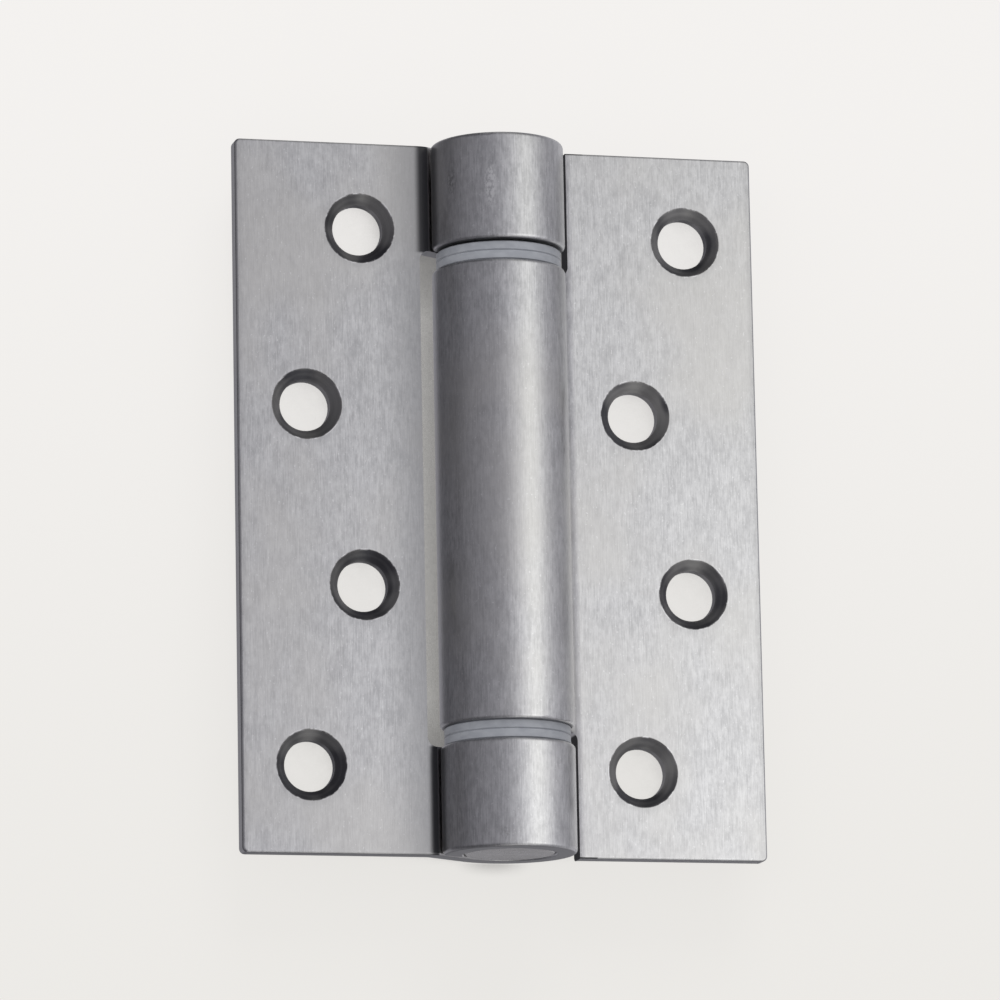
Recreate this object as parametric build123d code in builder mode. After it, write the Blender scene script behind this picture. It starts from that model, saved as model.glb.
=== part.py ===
from math import acos, asin, atan2, cos, degrees, hypot, pi, radians, sin, sqrt
import os

from build123d import *

# Single-action spring hinge, laid open flat.
# Z runs along the pin axis, the countersunk faces look along -Y, and the origin is
# on the pin axis at half height. The frame leaf is on the -X side with the two end
# knuckles, the door leaf on the +X side with the long barrel that holds the spring.

os.makedirs("parts", exist_ok=True)

# Leaves
leaf_height = 102.0
open_width = 76.0
sheet = 3.0
closed_gap = 2.2
leaf_corner_radius = 0.8
fold_clearance = 1.7
fold_inner_radius = 0.3
front_edge_radius = 0.35
back_edge_radius = 0.6

# Barrel and knuckles
barrel_diameter = 19.0
knuckle_length = 15.35
seam_gap = 0.3
seam_scarf = 2.0
frame_notch_clearance = 1.8
door_notch_clearance = 1.0
notch_corner_radius = 1.4

# Screw holes
hole_diameter = 7.3
countersink_diameter = 10.1
countersink_angle = 90.0
hole_edge_distance = 10.0
hole_stagger = 8.0
hole_pitch = 25.7

# Bushes
flange_inset = 0.6
flange_thickness = 1.3
sleeve_length = 6.0
axial_play = 0.4
bush_edge = 0.15

# Pivot and adjuster
journal_diameter = 9.0
running_clearance = 0.05
fixed_clearance = 0.03
end_chamfer = 0.3
pivot_recess = 0.1
adjuster_recess = 0.9
hex_across_flats = 5.0
hex_depth = 5.0
notch_count = 8
notch_diameter = 2.4
notch_depth = 3.0
neck_radial_depth = 1.5
neck_side_clearance = 0.25
neck_height = 2.7
journal_end_gap = 0.3

# Spring and the noses that hold its tangs
wire_width = 2.2
coil_clearance = 0.4
coil_gap = 0.35
coil_end_gap = 0.3
tang_bend_radius = 1.6
nose_clearance = 0.5
nose_length = 4.2
slot_side_clearance = 0.15
anchor_length = 8.0
shoulder_overrun = 1.0

# Dowels through the back of the barrel
dowel_diameter = 2.5
dowel_depth = 2.5
dowel_clearance = 0.02
dowel_recess = 0.1
dowel_tip_gap = 0.2
dowel_chamfer = 0.25

# How far a cutting tool runs past the metal
cut_margin = 1.0

# Radii and faces that follow from the sizes above
barrel_radius = barrel_diameter / 2
bore_radius = barrel_radius - sheet
leaf_front = closed_gap / 2
leaf_back = leaf_front + sheet
half_width = open_width / 2
core_radius = bore_radius - fixed_clearance
flange_radius = barrel_radius - flange_inset
journal_radius = journal_diameter / 2
coil_radius = bore_radius - coil_clearance - wire_width / 2
nose_radius = coil_radius - wire_width / 2 - nose_clearance
dowel_radius = dowel_diameter / 2
collar_radius = bore_radius - running_clearance
neck_radius = collar_radius - neck_radial_depth
neck_half_height = dowel_radius + neck_side_clearance
fold_distance = barrel_radius + fold_clearance
frame_notch_edge = barrel_radius + frame_notch_clearance
door_notch_edge = barrel_radius + door_notch_clearance
beyond_barrel = barrel_radius + cut_margin
outer_hole_distance = half_width - hole_edge_distance
inner_hole_distance = outer_hole_distance - hole_stagger

# Levels along the pin, from the bottom up; the door leaf hangs down by half the play
frame_mid = axial_play / 4
door_mid = -axial_play / 4
frame_bottom = frame_mid - leaf_height / 2
frame_top = frame_mid + leaf_height / 2
door_bottom = door_mid - leaf_height / 2
door_top = door_mid + leaf_height / 2
bottom_knuckle_top = frame_bottom + knuckle_length
barrel_bottom = bottom_knuckle_top + 2 * flange_thickness
anchor_bottom = barrel_bottom + sleeve_length
anchor_shoulder = anchor_bottom + anchor_length
top_knuckle_base = frame_top - knuckle_length
barrel_top = top_knuckle_base - axial_play - 2 * flange_thickness
adjuster_shoulder = barrel_top - sleeve_length - shoulder_overrun
collar_base = barrel_top + 2 * flange_thickness + sleeve_length
collar_top = frame_top - adjuster_recess
pivot_base = frame_bottom + pivot_recess
pivot_shoulder = bottom_knuckle_top - sleeve_length
pivot_end = anchor_bottom - journal_end_gap
pivot_pin_level = (pivot_base + pivot_shoulder) / 2
anchor_pin_level = (anchor_bottom + anchor_shoulder) / 2
adjuster_pin_level = collar_base + neck_height

# The straight web leaves the bore as a tangent and turns into the leaf with one bend
bend_centre = (fold_distance, leaf_back + fold_inner_radius)
bend_bearing = atan2(bend_centre[1], bend_centre[0])
web_angle = asin((barrel_radius + fold_inner_radius) / hypot(*bend_centre)) - bend_bearing
root_angle = pi / 2 - web_angle
free_angle = root_angle - acos((bore_radius - seam_gap) / barrel_radius)
scarf_angle = free_angle + seam_scarf / bore_radius


def polar(radius, angle):
    """Point at a radius and an angle, in radians from +X towards +Y."""
    return (radius * cos(angle), radius * sin(angle))


def bend_point(radius, angle):
    """Point on the bend beside the leaf, at the angle turned from the leaf."""
    return (bend_centre[0] - radius * sin(angle), bend_centre[1] - radius * cos(angle))


def arc_through(point, radius, start, end):
    """Arc from start to end angle through the point halfway, all by one point function."""
    return ThreePointArc(point(radius, start), point(radius, (start + end) / 2), point(radius, end))


def rolled_section():
    """Section of one leaf on the +X side: leaf, bend, web and the roll round the bore."""
    outer_bend = fold_inner_radius + sheet
    with BuildSketch() as section:
        with BuildLine():
            Line((half_width, leaf_front), bend_point(outer_bend, 0))
            arc_through(bend_point, outer_bend, 0, web_angle)
            Line(bend_point(outer_bend, web_angle), polar(bore_radius, root_angle))
            arc_through(polar, bore_radius, root_angle, scarf_angle + 2 * pi)
            Line(polar(bore_radius, scarf_angle), polar(barrel_radius, free_angle))
            arc_through(polar, barrel_radius, free_angle + 2 * pi, root_angle)
            Line(polar(barrel_radius, root_angle), bend_point(fold_inner_radius, web_angle))
            arc_through(bend_point, fold_inner_radius, web_angle, 0)
            Line(bend_point(fold_inner_radius, 0), (half_width, leaf_back))
            Line((half_width, leaf_back), (half_width, leaf_front))
        make_face()
    return section.sketch


def cut_notch(inner_x, outer_x, low, high, corner_radius=0):
    """Cuts the whole depth away between two levels, with its corners at inner_x rounded."""
    with BuildSketch(Plane.XZ.offset(beyond_barrel)) as face:
        with Locations(((inner_x + outer_x) / 2, (low + high) / 2)):
            Rectangle(abs(outer_x - inner_x), high - low)
        if corner_radius:
            corners = face.vertices().filter_by_position(Axis.X, inner_x - 0.01, inner_x + 0.01)
            fillet(corners, corner_radius)
    extrude(face.sketch, amount=-2 * beyond_barrel, mode=Mode.SUBTRACT)


def screw_places(side, mid, distances):
    """Hole places down one leaf from the top, at the given distances from the pin in turn."""
    highest = mid + (len(distances) - 1) / 2 * hole_pitch
    for row, distance in enumerate(distances):
        place = (side * distance, leaf_front, highest - row * hole_pitch)
        yield Plane(place, x_dir=(1, 0, 0), z_dir=(0, -1, 0))


def cut_screw_holes(side, mid, distances):
    """Countersunk holes in the front of one leaf."""
    with Locations(*screw_places(side, mid, distances)):
        CounterSinkHole(hole_diameter / 2, countersink_diameter / 2, sheet, countersink_angle)


def round_chain(edges, level, radius, where):
    """Rounds the smooth run of edges that holds the arc of a given radius at a level."""
    arcs = edges.filter_by(GeomType.CIRCLE).filter_by_position(Axis.Z, level - 0.001, level + 0.001)
    fillet(arcs.filter_by(lambda arc: abs(arc.radius - where) < 0.001), radius)


def cut_dowel_hole(level, depth):
    """Hole from the back of the barrel down to the given distance from the pin axis."""
    with BuildSketch(Plane.XZ.offset(-depth)) as mouth:
        with Locations((0, level)):
            Circle(dowel_radius + dowel_clearance)
    extrude(mouth.sketch, amount=depth - beyond_barrel, mode=Mode.SUBTRACT)


def dowel(level, tip):
    """Chamfered dowel along Y from its tip to just under the back of the barrel."""
    length = barrel_radius - dowel_recess - tip
    with BuildPart(Plane.XZ.offset(-tip)) as pin:
        with Locations((0, level, -length / 2)):
            Cylinder(dowel_radius, length)
        chamfer(pin.edges().filter_by(GeomType.CIRCLE), dowel_chamfer)
    return pin.part


def cut_tang_slot(end, inward):
    """Slot along X for a spring tang, from the end of a nose to its shoulder."""
    with BuildSketch(Plane.XY.offset(end)) as slot:
        Rectangle(2 * (nose_radius + slot_side_clearance), wire_width + 2 * slot_side_clearance)
    extrude(slot.sketch, amount=inward * nose_length, mode=Mode.SUBTRACT)


def flanged_bush(seat, up):
    """Nylon bush with its flange face at the seat level and its sleeve going up or down."""
    with BuildPart(Plane((0, 0, seat), x_dir=(1, 0, 0), z_dir=(0, 0, up))) as bush:
        Cylinder(flange_radius, flange_thickness, align=(Align.CENTER, Align.CENTER, Align.MAX))
        Cylinder(core_radius, sleeve_length, align=(Align.CENTER, Align.CENTER, Align.MIN))
        Cylinder(
            journal_radius + running_clearance,
            2 * (flange_thickness + sleeve_length),
            mode=Mode.SUBTRACT,
        )
        rims = bush.edges().filter_by(GeomType.CIRCLE)
        chamfer(rims.filter_by(lambda rim: rim.radius > core_radius), bush_edge)
    return bush.part


def tang_bend(turn, beyond=0):
    """Point on a spring tang in the plane of its bend, after a turn and a straight run."""
    along = tang_bend_radius * sin(turn) + beyond * cos(turn)
    across = tang_bend_radius * (1 - cos(turn)) + beyond * sin(turn)
    return (along, across)


# Frame leaf, with the knuckles at both ends of the pin
with BuildPart() as frame_leaf:
    with BuildSketch(Plane.XY.offset(frame_bottom)):
        add(rolled_section())
        mirror(about=Plane.YZ, mode=Mode.REPLACE)
    extrude(amount=leaf_height)
    cut_notch(
        -frame_notch_edge,
        beyond_barrel,
        bottom_knuckle_top,
        top_knuckle_base,
        notch_corner_radius,
    )
    fillet(frame_leaf.edges().filter_by(Axis.Y).group_by(Axis.X)[0], leaf_corner_radius)
    round_chain(frame_leaf.edges(), frame_top, back_edge_radius, barrel_radius)
    round_chain(frame_leaf.edges(), frame_top, front_edge_radius, bore_radius)
    round_chain(frame_leaf.edges(), top_knuckle_base, back_edge_radius, barrel_radius)
    cut_screw_holes(-1, frame_mid, (inner_hole_distance, outer_hole_distance) * 2)
    cut_dowel_hole(pivot_pin_level, 0)
    cut_dowel_hole(adjuster_pin_level, 0)
    with BuildSketch(Plane.XY.offset(frame_top - notch_depth - adjuster_recess)):
        with Locations((bore_radius, 0)):
            Circle(notch_diameter / 2)
    extrude(amount=notch_depth + adjuster_recess, mode=Mode.SUBTRACT)
frame_leaf.part.label = "frame_leaf"

# Door leaf, with the long barrel that the spring lies in
with BuildPart() as door_leaf:
    with BuildSketch(Plane.XY.offset(door_bottom)):
        add(rolled_section())
    extrude(amount=leaf_height)
    door_notches = ((door_bottom - leaf_height, barrel_bottom), (barrel_top, door_top + leaf_height))
    # Each notch starts as a straight slot, so that the rounding of the barrel's rim ends in it
    for low, high in door_notches:
        cut_notch(door_notch_edge - notch_corner_radius, -beyond_barrel, low, high)
    round_chain(door_leaf.edges(), barrel_top, back_edge_radius, barrel_radius)
    round_chain(door_leaf.edges(), barrel_bottom, back_edge_radius, barrel_radius)
    for low, high in door_notches:
        cut_notch(door_notch_edge, -beyond_barrel, low, high, notch_corner_radius)
    fillet(door_leaf.edges().filter_by(Axis.Y).group_by(Axis.X)[-1], leaf_corner_radius)
    door_rim = door_leaf.edges().filter_by(Axis.Z).group_by(Axis.X)[-1].sort_by(Axis.Y)
    fillet(door_rim[0], front_edge_radius)
    fillet(door_rim[-1], back_edge_radius)
    cut_screw_holes(1, door_mid, (outer_hole_distance, inner_hole_distance) * 2)
    cut_dowel_hole(anchor_pin_level, 0)
door_leaf.part.label = "door_leaf"

# Nylon bushes; the upper one at the top joint has slid down off its knuckle by the play
top_knuckle_bush = flanged_bush(barrel_top + 2 * flange_thickness, 1)
top_knuckle_bush.label = "top_knuckle_bush"
barrel_top_bush = flanged_bush(barrel_top, -1)
barrel_top_bush.label = "barrel_top_bush"
barrel_bottom_bush = flanged_bush(barrel_bottom, 1)
barrel_bottom_bush.label = "barrel_bottom_bush"
bottom_knuckle_bush = flanged_bush(bottom_knuckle_top, -1)
bottom_knuckle_bush.label = "bottom_knuckle_bush"

# Bottom pivot: a plug fixed in the bottom knuckle and the journal that the barrel turns on
with BuildPart() as bottom_pivot:
    with BuildSketch(Plane.XZ):
        with BuildLine():
            Polyline(
                (0, pivot_base),
                (core_radius, pivot_base),
                (core_radius, pivot_shoulder),
                (journal_radius, pivot_shoulder),
                (journal_radius, pivot_end),
                (0, pivot_end),
                close=True,
            )
        make_face()
    revolve(axis=Axis.Z)
    ends = bottom_pivot.edges().filter_by(GeomType.CIRCLE).group_by(Axis.Z)
    chamfer(ends[0] + ends[-1], end_chamfer)
    cut_dowel_hole(pivot_pin_level, core_radius - dowel_depth)
bottom_pivot.part.label = "bottom_pivot"

# Tension adjuster: notched collar with a hex socket, journal, and slotted nose in the spring
with BuildPart() as tension_adjuster:
    with BuildSketch(Plane.XZ):
        with BuildLine():
            Polyline(
                (0, adjuster_shoulder - nose_length),
                (nose_radius, adjuster_shoulder - nose_length),
                (nose_radius, adjuster_shoulder),
                (journal_radius, adjuster_shoulder),
                (journal_radius, collar_base),
                (collar_radius, collar_base),
                (collar_radius, adjuster_pin_level - neck_half_height),
                (neck_radius, adjuster_pin_level - neck_half_height),
                (neck_radius, adjuster_pin_level + neck_half_height),
                (collar_radius, adjuster_pin_level + neck_half_height),
                (collar_radius, collar_top),
                (0, collar_top),
                close=True,
            )
        make_face()
    revolve(axis=Axis.Z)
    chamfer(tension_adjuster.edges().filter_by(GeomType.CIRCLE).group_by(Axis.Z)[-1], end_chamfer)
    with BuildSketch(Plane.XY.offset(collar_top - hex_depth)):
        RegularPolygon(hex_across_flats / 2, 6, major_radius=False)
    extrude(amount=hex_depth, mode=Mode.SUBTRACT)
    with BuildSketch(Plane.XY.offset(collar_top - notch_depth)):
        with PolarLocations(bore_radius, notch_count):
            Circle(notch_diameter / 2)
    extrude(amount=notch_depth, mode=Mode.SUBTRACT)
    cut_tang_slot(adjuster_shoulder - nose_length, 1)
tension_adjuster.part.label = "tension_adjuster"

# Spring anchor: plug pinned in the barrel, with a slotted nose in the spring
with BuildPart() as spring_anchor:
    with Locations((0, 0, anchor_bottom)):
        Cylinder(core_radius, anchor_length, align=(Align.CENTER, Align.CENTER, Align.MIN))
    with Locations((0, 0, anchor_shoulder)):
        Cylinder(nose_radius, nose_length, align=(Align.CENTER, Align.CENTER, Align.MIN))
    cut_dowel_hole(anchor_pin_level, core_radius - dowel_depth)
    cut_tang_slot(anchor_shoulder + nose_length, -1)
spring_anchor.part.label = "spring_anchor"

# Torsion spring of square wire: a left-hand coil, so that winding it tightens it on the
# noses. Each tang bends inwards in the slope of the last coil and crosses the pin axis.
coil_low = anchor_shoulder + coil_end_gap + wire_width / 2
coil_high = adjuster_shoulder - coil_end_gap - wire_width / 2
coil_rise = coil_high - coil_low
tang_start = sqrt(coil_radius**2 - 2 * coil_radius * tang_bend_radius)
tang_bearing = atan2(tang_bend_radius, tang_start)
tang_turn = pi / 2 + tang_bearing
tang_reach = tang_start + nose_radius
coil_turns = round(coil_rise / (wire_width + coil_gap)) - tang_bearing / pi
with BuildPart() as torsion_spring:
    with BuildLine() as coil:
        unturned = Helix(
            coil_rise / coil_turns,
            coil_rise,
            coil_radius,
            center=(0, 0, coil_low),
            lefthand=True,
            mode=Mode.PRIVATE,
        )
        add(Rot(0, 0, -degrees(tang_bearing)) * unturned)
    coil_start = coil.line @ 0
    towards_axis = Vector(-coil_start.X, -coil_start.Y, 0)
    with BuildSketch(Plane(coil_start, x_dir=towards_axis, z_dir=coil.line % 0)):
        Rectangle(wire_width, wire_width)
    sweep(path=coil.line, is_frenet=True)
    for end, sense in ((0, -1), (1, 1)):
        corner = coil.line @ end
        heading = (coil.line % end) * sense
        inward = Vector(-corner.X, -corner.Y, 0)
        with BuildLine(Plane(corner, x_dir=heading, z_dir=heading.cross(inward))) as tang:
            ThreePointArc((0, 0), tang_bend(tang_turn / 2), tang_bend(tang_turn))
            Line(tang_bend(tang_turn), tang_bend(tang_turn, tang_reach))
        with BuildSketch(Plane(corner, x_dir=inward, z_dir=heading)):
            Rectangle(wire_width, wire_width)
        sweep(path=tang.line)
torsion_spring.part.label = "torsion_spring"

# Dowels
pivot_pin = dowel(pivot_pin_level, core_radius - dowel_depth)
pivot_pin.label = "pivot_pin"
anchor_pin = dowel(anchor_pin_level, core_radius - dowel_depth)
anchor_pin.label = "anchor_pin"
adjuster_pin = dowel(adjuster_pin_level, neck_radius + dowel_tip_gap)
adjuster_pin.label = "adjuster_pin"

pieces = (
    frame_leaf.part,
    door_leaf.part,
    top_knuckle_bush,
    barrel_top_bush,
    barrel_bottom_bush,
    bottom_knuckle_bush,
    bottom_pivot.part,
    tension_adjuster.part,
    spring_anchor.part,
    torsion_spring.part,
    pivot_pin,
    anchor_pin,
    adjuster_pin,
)
for piece in pieces:
    export_step(piece, f"parts/{piece.label}.step")
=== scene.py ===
"""Dresses a single-action spring hinge, laid open flat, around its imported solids.

Lengths are millimetres in the classes and metres in Blender. Z runs along the pin axis
and the countersunk faces look along -Y.
"""

import logging
import math
from collections.abc import Iterable, Iterator, Mapping
from dataclasses import dataclass
from enum import Enum

import bpy
from mathutils import Matrix, Vector


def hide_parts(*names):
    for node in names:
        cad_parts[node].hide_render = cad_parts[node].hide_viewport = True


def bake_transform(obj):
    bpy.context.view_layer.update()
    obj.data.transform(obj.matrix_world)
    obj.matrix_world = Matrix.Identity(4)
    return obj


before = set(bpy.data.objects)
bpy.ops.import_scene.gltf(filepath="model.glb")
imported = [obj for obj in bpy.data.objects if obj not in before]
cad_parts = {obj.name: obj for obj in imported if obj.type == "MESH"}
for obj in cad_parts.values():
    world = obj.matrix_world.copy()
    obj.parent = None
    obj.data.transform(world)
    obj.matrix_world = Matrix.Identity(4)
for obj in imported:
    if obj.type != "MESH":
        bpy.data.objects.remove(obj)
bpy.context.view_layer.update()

LOG = logging.getLogger("spring_hinge")
MM = 0.001

Colour = tuple[float, float, float]
Point = tuple[float, float, float]
# Where a mask is 0 and where it is 1
Fade = tuple[float, float]
Value = object


class Coating(Enum):
    """The record's material slots."""

    SATIN = "satin_steel"
    NYLON = "nylon"
    TURNED = "turned_steel"
    SPRING = "spring_steel"


class Reading:
    """A number that varies over a surface; arithmetic on it adds Math nodes."""

    def __init__(self, board: "Board", socket: bpy.types.NodeSocket) -> None:
        """Wraps one output socket of a board."""
        self.board = board
        self.socket = socket

    def maths(self, operation: str, *values: Value) -> "Reading":
        """Adds one Math node.

        Args:
            operation: The Math node's operation.
            values: Readings or numbers, in the order of its sockets.

        Returns:
            The result.
        """
        node = self.board.add("ShaderNodeMath", {"operation": operation}, dict(enumerate(values)))
        return Reading(self.board, node.outputs[0])

    def __add__(self, other: Value) -> "Reading":
        """Sum."""
        return self.maths("ADD", self, other)

    def __radd__(self, other: Value) -> "Reading":
        """Sum with a number on the left."""
        return self.maths("ADD", other, self)

    def __sub__(self, other: Value) -> "Reading":
        """Difference."""
        return self.maths("SUBTRACT", self, other)

    def __rsub__(self, other: Value) -> "Reading":
        """Difference from a number on the left."""
        return self.maths("SUBTRACT", other, self)

    def __mul__(self, other: Value) -> "Reading":
        """Product."""
        return self.maths("MULTIPLY", self, other)

    def __rmul__(self, other: Value) -> "Reading":
        """Product with a number on the left."""
        return self.maths("MULTIPLY", other, self)

    def __truediv__(self, other: Value) -> "Reading":
        """Quotient."""
        return self.maths("DIVIDE", self, other)

    def __abs__(self) -> "Reading":
        """Absolute value."""
        return self.maths("ABSOLUTE", self)

    def sine(self) -> "Reading":
        """Sine of the value in radians."""
        return self.maths("SINE", self)

    def rounded(self) -> "Reading":
        """Nearest whole number."""
        return self.maths("ROUND", self)

    def within(self, low: float, high: float) -> "Reading":
        """The value, kept between two limits."""
        return self.maths("MINIMUM", self.maths("MAXIMUM", self, low), high)

    def rise(self, start: float, end: float) -> "Reading":
        """Smooth step.

        Args:
            start: Value at which the result is 0; it may be above end.
            end: Value at which the result is 1.

        Returns:
            A reading from 0 to 1.
        """
        sockets = {"Value": self, "From Min": start, "From Max": end}
        node = self.board.add("ShaderNodeMapRange", {"interpolation_type": "SMOOTHSTEP"}, sockets)
        return Reading(self.board, node.outputs[0])


def weighted(readings: Iterable[Reading], shares: Iterable[float]) -> Reading:
    """Adds readings up, each times its share."""
    first, *others = (reading * share for reading, share in zip(readings, shares))
    return sum(others, first)


def about(level: float, fade: Fade) -> Fade:
    """Moves a fade so that it lies about a level."""
    return level + fade[0], level + fade[1]


class Board:
    """A node tree, to which one method adds any node."""

    def __init__(self, tree: bpy.types.NodeTree) -> None:
        """Empties the tree and keeps it."""
        tree.nodes.clear()
        self.tree = tree

    def add(
        self,
        kind: str,
        settings: Mapping[str, Value] | None = None,
        sockets: Mapping[str | int, Value] | None = None,
    ) -> bpy.types.Node:
        """Adds a node.

        Args:
            kind: The node's type.
            settings: Its properties, set first; "stops" fills a ramp with (place, colour).
            sockets: Numbers, colours, readings or output sockets by input name or index.

        Returns:
            The node.
        """
        node = self.tree.nodes.new(kind)
        for name, value in (settings or {}).items():
            if name == "stops":
                self._fill_ramp(node.color_ramp, value)
            else:
                setattr(node, name, value)
        for name, value in (sockets or {}).items():
            source = value.socket if isinstance(value, Reading) else value
            if isinstance(source, bpy.types.NodeSocket):
                self.tree.links.new(source, node.inputs[name])
            else:
                node.inputs[name].default_value = source
        return node

    @staticmethod
    def _fill_ramp(ramp: bpy.types.ColorRamp, stops: list[tuple[float, Colour]]) -> None:
        """Sets a ramp's stops in order."""
        while len(ramp.elements) < len(stops):
            ramp.elements.new(1.0)
        for element, (place, colour) in zip(ramp.elements, stops):
            element.position = place
            element.color = (*colour, 1.0)

    def reading(self, kind: str, settings: Mapping, sockets: Mapping) -> Reading:
        """Adds a node and wraps its first output as a reading."""
        return Reading(self, self.add(kind, settings, sockets).outputs[0])

    def blend(self, factor: Value, first: Value, second: Value) -> bpy.types.NodeSocket:
        """Mixes two colours.

        Args:
            factor: 0 for the first colour, 1 for the second.
            first: Colour or socket.
            second: Colour or socket.

        Returns:
            The mixed colour's socket.
        """
        first = (*first, 1.0) if isinstance(first, tuple) else first
        second = (*second, 1.0) if isinstance(second, tuple) else second
        node = self.add("ShaderNodeMix", {"data_type": "RGBA"}, {0: factor, 6: first, 7: second})
        return node.outputs[2]


@dataclass(frozen=True)
class Grain:
    """A noise pattern.

    Attributes:
        across: Features per millimetre across the pin.
        along: Features per millimetre along the pin.
        shift: Moves the pattern so that two layers differ.
        detail: Octaves.
        rough: How strong the finer octaves are.
    """

    across: float
    along: float
    shift: float
    detail: float = 3.0
    rough: float = 0.55


@dataclass(frozen=True)
class Place:
    """Where a shaded point is on its piece, in millimetres."""

    board: Board
    point: bpy.types.NodeSocket
    x: Reading
    y: Reading
    z: Reading
    facing_front: Reading
    facing_up: Reading

    @classmethod
    def on(cls, board: Board) -> "Place":
        """Reads object coordinates and the surface's own direction."""
        coordinates = board.add("ShaderNodeTexCoord")
        scaled = board.add(
            "ShaderNodeVectorMath",
            {"operation": "SCALE"},
            {"Vector": coordinates.outputs["Object"], "Scale": 1 / MM},
        )
        parts = board.add("ShaderNodeSeparateXYZ", sockets={0: scaled.outputs[0]})
        normal = board.add("ShaderNodeSeparateXYZ", sockets={0: coordinates.outputs["Normal"]})
        x, y, z = (Reading(board, parts.outputs[axis]) for axis in range(3))
        front, up = Reading(board, normal.outputs[1]) * -1.0, Reading(board, normal.outputs[2])
        return cls(board, scaled.outputs[0], x, y, z, front, up)

    def noise(self, grain: Grain) -> Reading:
        """Reads a noise pattern.

        Args:
            grain: The pattern.

        Returns:
            A reading around 0.5.
        """
        shift = (grain.shift, grain.shift, grain.shift)
        scale = (grain.across, grain.across, grain.along)
        mapped = self.board.add(
            "ShaderNodeMapping", sockets={"Vector": self.point, "Location": shift, "Scale": scale}
        )
        sockets = {
            "Vector": mapped.outputs[0],
            "Scale": 1.0,
            "Detail": grain.detail,
            "Roughness": grain.rough,
        }
        return self.board.reading("ShaderNodeTexNoise", {"noise_dimensions": "3D"}, sockets)

    def distance(self, centre: tuple[Value, Value, Value], stretch: Point = (1.0, 1.0, 1.0)) -> Reading:
        """Distance to a centre, with each axis stretched first; None leaves an axis out."""
        total = None
        for here, there, scale in zip((self.x, self.y, self.z), centre, stretch):
            if there is None:
                continue
            step = (here - there) * scale
            total = step * step if total is None else total + step * step
        return total.maths("SQRT", total)


@dataclass(frozen=True)
class Look:
    """What a finish gives the main shader."""

    colour: bpy.types.NodeSocket
    metallic: float
    roughness: Reading
    height: Reading
    relief: float
    crevice: Reading | None = None
    crevice_shade_colour: Colour = (0.018, 0.018, 0.021)
    crevice_shade_roughness: float = 0.9
    least_roughness: float = 0.08

    def material(self, board: Board) -> None:
        """Joins the look to the shader and the output.

        Args:
            board: The material's board.
        """
        bump = board.add(
            "ShaderNodeBump", sockets={"Strength": 1.0, "Distance": self.relief * MM, "Height": self.height}
        )
        shader = board.add(
            "ShaderNodeBsdfPrincipled",
            sockets={
                "Base Color": self.colour,
                "Metallic": self.metallic,
                "Roughness": self.roughness.maths("MAXIMUM", self.roughness, self.least_roughness),
                "Normal": bump.outputs[0],
            },
        )
        # Painted shade: a dark matte shader mixed in where the crevice mask is high
        if self.crevice is not None:
            matte = {
                "Base Color": (*self.crevice_shade_colour, 1.0),
                "Roughness": self.crevice_shade_roughness,
                "Specular IOR Level": 0.0,
            }
            dull = board.add("ShaderNodeBsdfPrincipled", sockets=matte)
            sockets = {0: self.crevice, 1: shader.outputs[0], 2: dull.outputs[0]}
            shader = board.add("ShaderNodeMixShader", sockets=sockets)
        board.add("ShaderNodeOutputMaterial", sockets={"Surface": shader.outputs[0]})


def new_material(name: str) -> tuple[bpy.types.Material, Board]:
    """Makes an empty node material and its board."""
    material = bpy.data.materials.new(name)
    material.use_nodes = True
    return material, Board(material.node_tree)


@dataclass(frozen=True)
class Scuff:
    """One small mark on the sheet, an oval in space."""

    centre: Point
    half_size: Point
    strength: float


@dataclass(frozen=True)
class HoleRows:
    """The four countersunk holes of one leaf, two by two in a zigzag."""

    side: int
    middle: float
    first: float
    second: float
    rows: int = 4
    pitch: float = 25.7
    rim_radius: float = 5.05

    def radius(self, place: Place) -> tuple[Reading, Reading]:
        """Reads the distance to the nearest hole's axis.

        Args:
            place: The shaded point.

        Returns:
            The distance in millimetres, and the height above that axis.
        """
        last = self.rows - 1.0
        top = self.middle + last / 2 * self.pitch
        row = ((top - place.z) / self.pitch).rounded().within(0.0, last)
        odd = row.maths("MODULO", row, 2.0)
        centre_x = (odd * (self.second - self.first) + self.first) * self.side
        centre_z = top - row * self.pitch
        return place.distance((centre_x, None, centre_z)), place.z - centre_z


@dataclass(frozen=True)
class SheetMasks:
    """Readings that tell the parts of a rolled sheet apart.

    Attributes:
        radius: Millimetres from the nearest hole's axis.
        above: Millimetres above that axis.
        sink: 1 in a countersink, where shade is painted.
        rim: 1 on a countersink's sharp rim, where a highlight is painted.
        halo: 1 on the sheet below a countersink, where shade is painted.
        edge: 1 on a sheared end, which also gets painted shade.
        outer: 1 at the leaf's long free edge, where shade is painted.
        inner: Painted shade of the leaf beside the barrel.
        crevice: Share of painted shade in a slit or fold.
    """

    radius: Reading
    above: Reading
    sink: Reading
    rim: Reading
    halo: Reading
    edge: Reading
    outer: Reading
    inner: Reading
    crevice: Reading


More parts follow.
